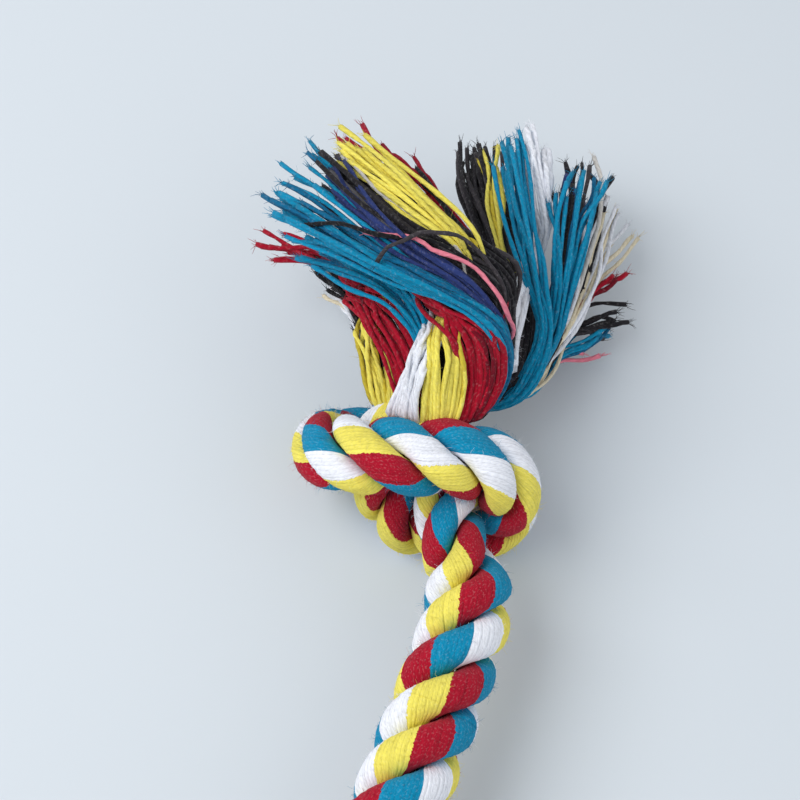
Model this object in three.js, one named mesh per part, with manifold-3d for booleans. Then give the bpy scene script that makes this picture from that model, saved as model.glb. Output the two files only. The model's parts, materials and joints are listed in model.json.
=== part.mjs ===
// Rope dog toy: a three-strand cotton rope with an overhand knot at each end, and each end
// unlaid into three tufts of coloured yarn. Millimetres, +Z up. The toy lies on a floor at
// z = 0 along Y, with the origin on the floor under the middle of the rope. One end is
// modelled, and the other is the same end turned half round about the vertical.
import * as THREE from 'three';
import { mergeVertices } from 'three/addons/utils/BufferGeometryUtils.js';
import Module from 'manifold-3d';

const wasm = await Module();
wasm.setup();

// Rope
const ROPE_DIAMETER = 18;
const KNOT_ROPE_DIAMETER = 16.5; // the rope drawn tight inside a knot
const LAY_LENGTH = 31; // one full turn of a strand round the rope, along the tightened rope
const STRAND_COUNT = 3;
const STRAND_GAP = 0.4; // clearance between neighbouring strands
const STEPS_PER_TURN = 10;
const ROUTE_SAMPLES = 1500; // places at which the tightened rope's length is measured

// A strand's section, in rope diameters: the radius of its round back, how far its inner edge
// stays from the rope's middle, how far its flat flanks run, and where its back has corners.
const STRAND_BACK = 0.228;
const STRAND_EDGE = 0.05;
const STRAND_FLANK = 0.16;
const BACK_CORNERS = [-95, -32, 32, 95];

// Knot
const KNOT_SPACING = 150; // between the two knots' centres, along the toy
const KNOT_OFFSET = 9.4; // of each knot's centre to its own side of the toy's middle line
const PINCH_ACROSS = 0.8; // share to which tightening draws the knot in, across the toy
const PINCH_HEIGHT = 0.85; // the same, in height
const PINCH_FROM = 1.0; // knot rope diameters along the toy, from the knot's centre
const PINCH_TO = 1.9;
const LEAN = 0.28; // how far the knot's top leans back over the standing rope, per height
const FLOOR_CUT = ROPE_DIAMETER / 10; // depth of the flat that the knot settles on

// Route of the rope's middle through half a knot, in knot rope diameters from the knot's
// centre: from the middle of the band over the knot's top, round its right side, under the
// standing rope and up through the knot. The other half is this half turned half round.
const HALF_KNOT = [
  [0, 0, 0.87],
  [0.6, -0.04, 0.85],
  [1.1, -0.14, 0.64],
  [1.4, -0.3, 0.2],
  [1.38, -0.48, -0.4],
  [1.05, -0.62, -0.85],
  [0.5, -0.65, -1.05],
  [-0.05, -0.53, -0.95],
  [-0.42, -0.28, -0.62],
  [-0.5, 0.02, -0.26],
  [-0.47, 0.4, -0.07],
];
const NECK = [
  [-0.25, 0.7, 0.03],
  [0.1, 0.96, 0.1],
];
const KNOT_DEPTH = 1.55; // the knot's lowest place under the rope's middle, in the same unit
// Route of the standing rope on the floor plan, from the toy's middle to the knot, in shares of
// the knot's offset and of its distance along the toy.
const STANDING_ROPE = [
  [0, 0],
  [0.43, 0.12],
  [0.86, 0.24],
  [1.32, 0.373],
  [1.78, 0.52],
  [2.03, 0.68],
  [1.81, 0.824],
];

// Places where the rope bends
const BEND_GAP = 0.3; // clearance at the ridge of a bend
const BEND_SLACK = 1.5; // degrees by which an end is cut back further than the bend needs
const KNOT_BEND_AT = 0.6; // share of the way along the toy to the knot's centre
const KNOT_BEND = 35; // degrees each way, sideways
const MIDDLE_BEND = 45; // degrees each way, up and down

// Tufts
const TUFT_GAP = 0.4; // clearance between neighbouring hanks, and from the strand's cut end
const TUFT_STEM = 4; // straight stretch at a tuft's root
const TUFT_TWIST = 50; // degrees that the yarn still turns on its way to the tip
const CORE_SHARE = 0.36; // radius of a tuft's core, as a share of the tuft's
const TIP_TAPER = 0.68; // share to which each hank thins towards its tip
const FILLED_AT = 0.35; // share of a tuft's length at which it has its middle radius
const CORE_SIDES = 6;
const HANK_STEPS = 8;
const HANKS = [
  { name: 'white', colour: 0xe6e4dd },
  { name: 'yellow', colour: 0xdccb4b },
  { name: 'red', colour: 0x9a1b30 },
  { name: 'teal', colour: 0x1a86a3 },
];
const CORE = { name: 'core', colour: 0x34343c };
// The strand that each tuft is unlaid from, its middle line from the end of the neck and its
// radii when filled and at the tip, all in rope diameters, and the angle that its first hank faces,
// in degrees.
const TUFTS = [
  {
    name: 'left',
    strand: 0,
    line: [[-0.3, 0.9, 0.06], [-0.63, 1.49, -0.02], [-0.98, 2.11, -0.07], [-1.4, 2.71, -0.24]],
    middle: 0.42,
    tip: 0.62,
    faces: 20,
  },
  {
    name: 'top',
    strand: 1,
    line: [
      [0.65, 0.31, 0.59],
      [0.56, 0.74, 1.04],
      [0.11, 1.27, 1.26],
      [-0.39, 2.01, 1.2],
      [-0.83, 2.92, 0.93],
    ],
    middle: 0.55,
    tip: 0.52,
    faces: 140,
  },
  {
    name: 'right',
    strand: 2,
    line: [
      [0.7, 0.35, -0.15],
      [1.22, 0.9, -0.19],
      [1.58, 1.6, -0.07],
      [1.72, 2.46, 0.04],
      [1.8, 3.4, 0.04],
    ],
    middle: 0.5,
    tip: 0.85,
    faces: 260,
  },
];

const STRAND_COLOURS = [0xc9bd5a, 0x9a2b3c, 0x2b8aa3];
const COTTON = { roughness: 0.95, metalness: 0 };
const FAR = 200; // reach of the blocks that cut, past anything on the toy

const { degToRad, smoothstep, lerp } = THREE.MathUtils;
const UP = new THREE.Vector3(0, 0, 1);
const KNOT_CENTRE = new THREE.Vector2(KNOT_OFFSET, KNOT_SPACING / 2);
const AXIS_HEIGHT = KNOT_DEPTH * KNOT_ROPE_DIAMETER * PINCH_HEIGHT - FLOOR_CUT;

// Closed skin over a row of rings with equally many points. Past the section's halfway point
// the quads are split the other way, so that neighbouring strands' flanks stay parallel.
function loft(rings) {
  const count = rings[0].length;
  const index = [];
  for (let i = 0; i + 1 < rings.length; i++) {
    for (let k = 0; k < count; k++) {
      const next = (k + 1) % count;
      const [a, b] = [i * count + k, i * count + next];
      const [c, d] = [a + count, b + count];
      if (k < count / 2) index.push(a, b, d, a, d, c);
      else index.push(a, b, c, b, d, c);
    }
  }
  const last = (rings.length - 1) * count;
  for (let k = 1; k + 1 < count; k++) {
    index.push(0, k + 1, k);
    index.push(last, last + k, last + k + 1);
  }
  const geometry = new THREE.BufferGeometry().setFromPoints(rings.flat());
  geometry.setIndex(index);
  return geometry;
}

function toSolid(geometry) {
  const bare = geometry.clone();
  bare.deleteAttribute('normal');
  bare.deleteAttribute('uv');
  const merged = mergeVertices(bare, 1e-4);
  const vertProperties = new Float32Array(merged.attributes.position.array);
  const triVerts = new Uint32Array(merged.index.array);
  return new wasm.Manifold(new wasm.Mesh({ numProp: 3, vertProperties, triVerts }));
}

function toGeometry(solid) {
  const { vertProperties, triVerts } = solid.getMesh();
  const geometry = new THREE.BufferGeometry();
  geometry.setAttribute('position', new THREE.BufferAttribute(vertProperties, 3));
  geometry.setIndex(new THREE.BufferAttribute(triVerts, 1));
  geometry.computeVertexNormals();
  return geometry;
}

function knotPlace([across, along, up]) {
  const size = KNOT_ROPE_DIAMETER;
  const { x, y } = KNOT_CENTRE;
  return new THREE.Vector3(x + across * size, y + along * size, AXIS_HEIGHT + up * size);
}

// The rope's middle line from the middle of the toy to the end of the neck.
function ropeRoute() {
  const standing = STANDING_ROPE.map(([across, along]) => {
    return new THREE.Vector3(across * KNOT_CENTRE.x, along * KNOT_CENTRE.y, AXIS_HEIGHT);
  });
  const turned = HALF_KNOT.slice(1).reverse().map(([x, y, z]) => [-x, -y, z]);
  const knot = [...turned, ...HALF_KNOT, ...NECK].map(knotPlace);
  return new THREE.CatmullRomCurve3([...standing, ...knot], false, 'centripetal');
}

// How far along the toy a place is from the knot's centre, in knot rope diameters.
const fromKnot = (place) => Math.abs(place.y - KNOT_CENTRE.y) / KNOT_ROPE_DIAMETER;

function ropeThickness(place) {
  const standing = place.y < KNOT_CENTRE.y ? smoothstep(fromKnot(place), PINCH_FROM, PINCH_TO) : 0;
  return lerp(KNOT_ROPE_DIAMETER, ROPE_DIAMETER, standing);
}

// The tightened knot: every place near it is drawn in towards the knot's middle, and its top
// leans back.
function pinched(place) {
  const freed = smoothstep(fromKnot(place), PINCH_FROM, PINCH_TO);
  const x = KNOT_CENTRE.x + (place.x - KNOT_CENTRE.x) * lerp(PINCH_ACROSS, 1, freed);
  const up = (place.z - AXIS_HEIGHT) * lerp(PINCH_HEIGHT, 1, freed);
  const y = place.y - up * lerp(LEAN, 0, freed);
  return new THREE.Vector3(x, y, AXIS_HEIGHT + up);
}

// Outline of one strand in the rope's section, with x out from the rope's middle.
function strandOutline(thickness) {
  const radius = STRAND_BACK * thickness;
  const centre = thickness / 2 - radius;
  const wedge = Math.PI / STRAND_COUNT;
  const flank = STRAND_FLANK * thickness;
  const inset = STRAND_GAP / 2;
  const flankX = flank * Math.cos(wedge) + inset * Math.sin(wedge);
  const flankY = flank * Math.sin(wedge) - inset * Math.cos(wedge);
  const back = BACK_CORNERS.map(degToRad).map((angle) => [
    centre + radius * Math.cos(angle),
    radius * Math.sin(angle),
  ]);
  return [[STRAND_EDGE * thickness, 0], [flankX, -flankY], ...back, [flankX, flankY]];
}

const route = ropeRoute();

// How far the tightened rope has run at evenly spaced samples of its route.
function drawnLengths() {
  const places = route.getSpacedPoints(ROUTE_SAMPLES).map(pinched);
  const lengths = [0];
  places.slice(1).forEach((place, i) => lengths.push(lengths[i] + place.distanceTo(places[i])));
  return lengths;
}

const drawn = drawnLengths();
const routeSteps = Math.round((drawn[ROUTE_SAMPLES] / LAY_LENGTH) * STEPS_PER_TURN);
const routeFrames = route.computeFrenetFrames(routeSteps);

// A strand's angle round the rope at one step of the route.
function layAngle(strand, step) {
  const travelled = drawn[Math.round((step / routeSteps) * ROUTE_SAMPLES)];
  return 2 * Math.PI * (travelled / LAY_LENGTH + strand / STRAND_COUNT);
}

// A place in the rope's section at one step, from how far out it is and how far round.
function sectionPlace(step, angle, [out, round]) {
  const normal = routeFrames.normals[step].clone();
  const binormal = routeFrames.binormals[step].clone();
  const cos = Math.cos(angle);
  const sin = Math.sin(angle);
  normal.multiplyScalar(out * cos - round * sin);
  binormal.multiplyScalar(out * sin + round * cos);
  return route.getPointAt(step / routeSteps).add(normal).add(binormal);
}

function strandSolid(strand) {
  const rings = [];
  for (let step = 0; step <= routeSteps; step++) {
    const outline = strandOutline(ropeThickness(route.getPointAt(step / routeSteps)));
    const angle = layAngle(strand, step);
    rings.push(outline.map((corner) => pinched(sectionPlace(step, angle, corner))));
  }
  return toSolid(loft(rings));
}

// The rope's middle and direction on the floor plan where it crosses a distance along the toy.
function standingPlace(y) {
  let step = 0;
  while (route.getPointAt(step / routeSteps).y < y) step++;
  const placeAt = (i) => pinched(route.getPointAt(Math.max(i, 0) / routeSteps));
  const [before, after] = [step - 1, step].map(placeAt);
  const share = step ? (y - before.y) / (after.y - before.y) : 0;
  const at = before.lerp(after, share);
  const along = route.getTangentAt(step / routeSteps).setZ(0).normalize();
  return { at, along };
}

// Block on one side of a bend, whose face falls away to both sides of the bend's axis.
function sideOfBend(at, along, axis, degrees) {
  const across = new THREE.Vector3().crossVectors(axis, along);
  const fall = Math.tan(degToRad(degrees / 2 + BEND_SLACK)) * ROPE_DIAMETER;
  const ridge = BEND_GAP / 2;
  const face = new THREE.Shape([
    new THREE.Vector2(ridge, 0),
    new THREE.Vector2(ridge + fall, -ROPE_DIAMETER),
    new THREE.Vector2(ridge + fall, -FAR),
    new THREE.Vector2(FAR, -FAR),
    new THREE.Vector2(FAR, FAR),
    new THREE.Vector2(ridge + fall, FAR),
    new THREE.Vector2(ridge + fall, ROPE_DIAMETER),
  ]);
  const block = new THREE.ExtrudeGeometry(face, { depth: 2 * FAR, bevelEnabled: false });
  block.translate(0, 0, -FAR);
  block.applyMatrix4(new THREE.Matrix4().makeBasis(along, across, axis).setPosition(at));
  return toSolid(block);
}

function aboveFloor() {
  const block = new THREE.BoxGeometry(2 * FAR, 2 * FAR, FAR);
  block.translate(0, 0, FAR / 2);
  return toSolid(block);
}

const middle = standingPlace(0);
const middleAxis = new THREE.Vector3().crossVectors(middle.along, UP);
const knotBend = standingPlace(KNOT_BEND_AT * KNOT_CENTRE.y);

// Cut each strand where the rope bends, and flat where the knot settles on the floor.
function strandPieces(strand) {
  const whole = strandSolid(strand);
  const backwards = knotBend.along.clone().negate();
  const knot = whole
    .intersect(sideOfBend(knotBend.at, knotBend.along, UP, KNOT_BEND))
    .intersect(aboveFloor());
  const stretch = whole
    .intersect(sideOfBend(knotBend.at, backwards, UP, KNOT_BEND))
    .intersect(sideOfBend(middle.at, middle.along, middleAxis, MIDDLE_BEND));
  return { knot: toGeometry(knot), stretch: toGeometry(stretch) };
}

// The middle of a strand's cut end at the neck, and the way it faces.
function strandEnd(strand) {
  const angle = layAngle(strand, routeSteps);
  const out = (0.5 - STRAND_BACK) * KNOT_ROPE_DIAMETER;
  const place = (corner) => pinched(sectionPlace(routeSteps, angle, corner));
  const at = place([out, 0]);
  const outward = place([out + 1, 0]).sub(at);
  const round = place([out, 1]).sub(at);
  return { at, along: outward.cross(round).normalize() };
}

// A tuft's radius from its root to its tip.
function tuftRadius(tuft, share) {
  const root = STRAND_BACK * KNOT_ROPE_DIAMETER * PINCH_ACROSS;
  const filled = lerp(root, tuft.middle * ROPE_DIAMETER, smoothstep(share, 0, FILLED_AT));
  return lerp(filled, tuft.tip * ROPE_DIAMETER, smoothstep(share, FILLED_AT, 1));
}

// Outline of one hank in its tuft's section: a quarter ring round the core.
function hankOutline(radius, facing) {
  const quarter = Math.PI / HANKS.length;
  const inner = radius * CORE_SHARE;
  const corner = (at, turn) => [at * Math.cos(facing + turn), at * Math.sin(facing + turn)];
  const trim = (at) => quarter - Math.asin(TUFT_GAP / 2 / at);
  const turns = [-trim(radius), -quarter / 3, quarter / 3, trim(radius)];
  const outside = turns.map((turn) => corner(radius, turn));
  return [corner(inner, -trim(inner)), ...outside, corner(inner, trim(inner))];
}

function coreOutline(radius, facing) {
  const size = radius * CORE_SHARE * Math.cos(Math.PI / CORE_SIDES) - TUFT_GAP;
  const turns = Array.from({ length: CORE_SIDES }, (_, k) => facing + (2 * Math.PI * k) / CORE_SIDES);
  return turns.map((turn) => [size * Math.cos(turn), size * Math.sin(turn)]);
}

// Each outline shrinks towards its own middle as the hank thins.
function thinned(outline, share) {
  const [sumX, sumY] = outline.reduce(([x, y], point) => [x + point[0], y + point[1]], [0, 0]);
  const [midX, midY] = [sumX / outline.length, sumY / outline.length];
  return outline.map(([x, y]) => [lerp(midX, x, share), lerp(midY, y, share)]);
}

function hankGeometry(tuft, root, outlineAt) {
  const neckEnd = pinched(knotPlace(NECK.at(-1)));
  const stem = [TUFT_GAP, TUFT_STEM].map((reach) => root.at.clone().addScaledVector(root.along, reach));
  const line = tuft.line.map((point) => {
    return new THREE.Vector3(...point).multiplyScalar(ROPE_DIAMETER).add(neckEnd);
  });
  const path = new THREE.CatmullRomCurve3([...stem, ...line], false, 'centripetal');
  const { normals, binormals } = path.computeFrenetFrames(HANK_STEPS);
  const rings = [];
  for (let step = 0; step <= HANK_STEPS; step++) {
    const share = step / HANK_STEPS;
    const facing = degToRad(tuft.faces + TUFT_TWIST * share);
    const outline = thinned(outlineAt(tuftRadius(tuft, share), facing), lerp(1, TIP_TAPER, share));
    const place = path.getPointAt(share);
    rings.push(
      outline.map(([x, y]) =>
        place.clone().addScaledVector(normals[step], x).addScaledVector(binormals[step], y),
      ),
    );
  }
  return loft(rings);
}

function named(name, geometry, colour) {
  const mesh = new THREE.Mesh(geometry, new THREE.MeshStandardMaterial({ color: colour, ...COTTON }));
  mesh.name = name;
  return mesh;
}

const strands = Array.from({ length: STRAND_COUNT }, (_, strand) => strandPieces(strand));

function ropeEnd(letter) {
  const end = new THREE.Group();
  strands.forEach(({ knot, stretch }, strand) => {
    const colour = STRAND_COLOURS[strand];
    end.add(named(`knot_${letter}_strand_${strand + 1}`, knot, colour));
    end.add(named(`rope_${letter}_strand_${strand + 1}`, stretch, colour));
  });
  TUFTS.forEach((tuft) => {
    const root = strandEnd(tuft.strand);
    const prefix = `tuft_${letter}_${tuft.name}`;
    HANKS.forEach((hank, h) => {
      const turn = (2 * Math.PI * h) / HANKS.length;
      const geometry = hankGeometry(tuft, root, (radius, facing) => hankOutline(radius, facing + turn));
      end.add(named(`${prefix}_${hank.name}`, geometry, hank.colour));
    });
    end.add(named(`${prefix}_${CORE.name}`, hankGeometry(tuft, root, coreOutline), CORE.colour));
  });
  return end;
}

const toy = new THREE.Group();
const farEnd = ropeEnd('b');
farEnd.rotation.z = Math.PI;
toy.add(ropeEnd('a'), farEnd);

export default toy;
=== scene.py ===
"""Rope dog toy: three cotton strands laid into a rope, knotted near both ends and frayed past the knots."""

import json
import math

import bpy
import numpy as np
from bpy.props import FloatProperty, FloatVectorProperty, IntProperty, PointerProperty
from bpy.types import Operator, Panel, PropertyGroup
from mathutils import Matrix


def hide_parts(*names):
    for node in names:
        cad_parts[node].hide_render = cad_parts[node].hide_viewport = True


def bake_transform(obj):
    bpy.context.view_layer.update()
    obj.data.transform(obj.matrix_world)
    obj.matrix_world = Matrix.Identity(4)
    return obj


bl_info = {
    "name": "Rope dog toy",
    "version": (1, 0, 0),
    "blender": (4, 5, 0),
    "location": "3D View > Sidebar > Rope toy",
    "description": "Laid cotton rope with a knot and a frayed tassel at each end",
    "category": "Add Mesh",
}

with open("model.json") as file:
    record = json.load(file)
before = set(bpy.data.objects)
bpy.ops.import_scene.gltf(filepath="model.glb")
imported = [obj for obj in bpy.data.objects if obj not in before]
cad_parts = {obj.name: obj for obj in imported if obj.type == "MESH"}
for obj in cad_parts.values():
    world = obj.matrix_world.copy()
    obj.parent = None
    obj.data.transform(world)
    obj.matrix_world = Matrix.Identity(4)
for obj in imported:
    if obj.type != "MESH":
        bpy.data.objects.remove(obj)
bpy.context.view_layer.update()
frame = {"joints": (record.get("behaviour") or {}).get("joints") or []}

MM = 0.001
TAU = 2 * math.pi

# Route of the standing rope on the floor, from the toy's middle to the knot, in shares of the
# knot's offset and of its distance along the toy.
STANDING_ROPE = (
    (0, 0),
    (0.43, 0.12),
    (0.86, 0.24),
    (1.32, 0.373),
    (1.78, 0.52),
    (2.03, 0.68),
    (1.81, 0.824),
)
# Route through half a knot, in knot rope diameters from the knot's centre: from the middle of
# the band over its top, round its right side, under the standing rope and up through the knot.
HALF_KNOT = (
    (0, 0, 0.87),
    (0.6, -0.04, 0.85),
    (1.1, -0.14, 0.64),
    (1.4, -0.3, 0.2),
    (1.38, -0.48, -0.4),
    (1.05, -0.62, -0.85),
    (0.5, -0.65, -1.05),
    (-0.05, -0.53, -0.95),
    (-0.42, -0.28, -0.62),
    (-0.5, 0.02, -0.26),
    (-0.47, 0.4, -0.07),
)
NECK = ((-0.25, 0.7, 0.03), (0.1, 0.96, 0.1))
KNOT_DEPTH = 1.55  # from the knot's centre to its underside
# How tight the knot is drawn: shares of its width and height, the distances along the toy, in knot
# rope diameters, between which that fades, and how far its top leans back for its height.
PINCH_ACROSS = 0.8
PINCH_HEIGHT = 0.85
PINCH_FROM = 1.0
PINCH_TO = 1.9
LEAN = 0.28
FLOOR_CUT = 0.1  # rope diameters by which the floor flattens a knot
ROUTE_STEP = 0.5 * MM

# Strands: where a strand's middle lies, and the half axes of its section, in rope diameters.
STRANDS = 3
STRAND_CENTRE = 0.272
STRAND_OUT = 0.23
STRAND_SIDE = 0.3
FLANK_GAP = 0.004  # between neighbours
FLANK_FIRMNESS = 9  # how sharply the round back turns into the flat flanks
SECTION_POINTS = 1441
COLUMNS_PER_YARN = 4
RING_STEP = 1.2 * MM
DYES = 4  # sectors of colour round a strand
# Turns by which the yarn unwinds in a strand for each turn that the strand winds in the rope.
YARN_UNWIND = 1.04
# Where each strand's colours start round it, in turns.
COLOUR_STARTS = (0.5, 0.82, 0.94)
# Turns that each strand's colours gain, by its turns round the rope from the toy's middle.
COLOUR_GAINS = (
    ((0.0, 0.0), (1.8, 0.0), (4.8, -0.25), (7.05, 0.27)),
    ((0.0, 0.0), (2.2, 0.0), (4.5, -0.39), (5.5, -0.42), (6.8, -0.25), (7.7, -0.34)),
    ((0.0, 0.0), (1.9, 0.0), (4.2, -0.22), (5.1, 0.0), (7.4, 0.0)),
)

# Yarns in a strand: how uneven their widths and waves are against the mean, the waves of slack
# along them, and what these do to a yarn's height and to the seam beside it, in yarn reliefs.
UNEVEN = (0.7, 1.3)
SLACK_PACES = (0.35, 0.8, 1.7)
SLACK_WAVE = 4 * MM
CROWN_SHAPE = 0.8
YARN_LIFT = 0.2
SLACK_LIFT = 0.175
SEAM_DEPTH = 0.65
SLACK_SEAM = 0.35
WIDTH_SEED = 5
RELIEF_SEED = 11
LINT_SEED = 23
END_TUCK = 0.9 * MM  # by which a strand narrows at the end of its neck
END_TUCK_REACH = 6 * MM

PIECE_END = 24 * MM  # along the rope from the toy's middle, where a strand's pieces meet
PIECE_LAP = 2.4 * MM  # by which the middle piece goes on under its neighbours
LAP_DEPTH = 0.12 * MM
KNOT_BEND_REACH = 11 * MM  # along the rope, each way from the hinge
MIDDLE_BEND_REACH = 19 * MM

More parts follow.
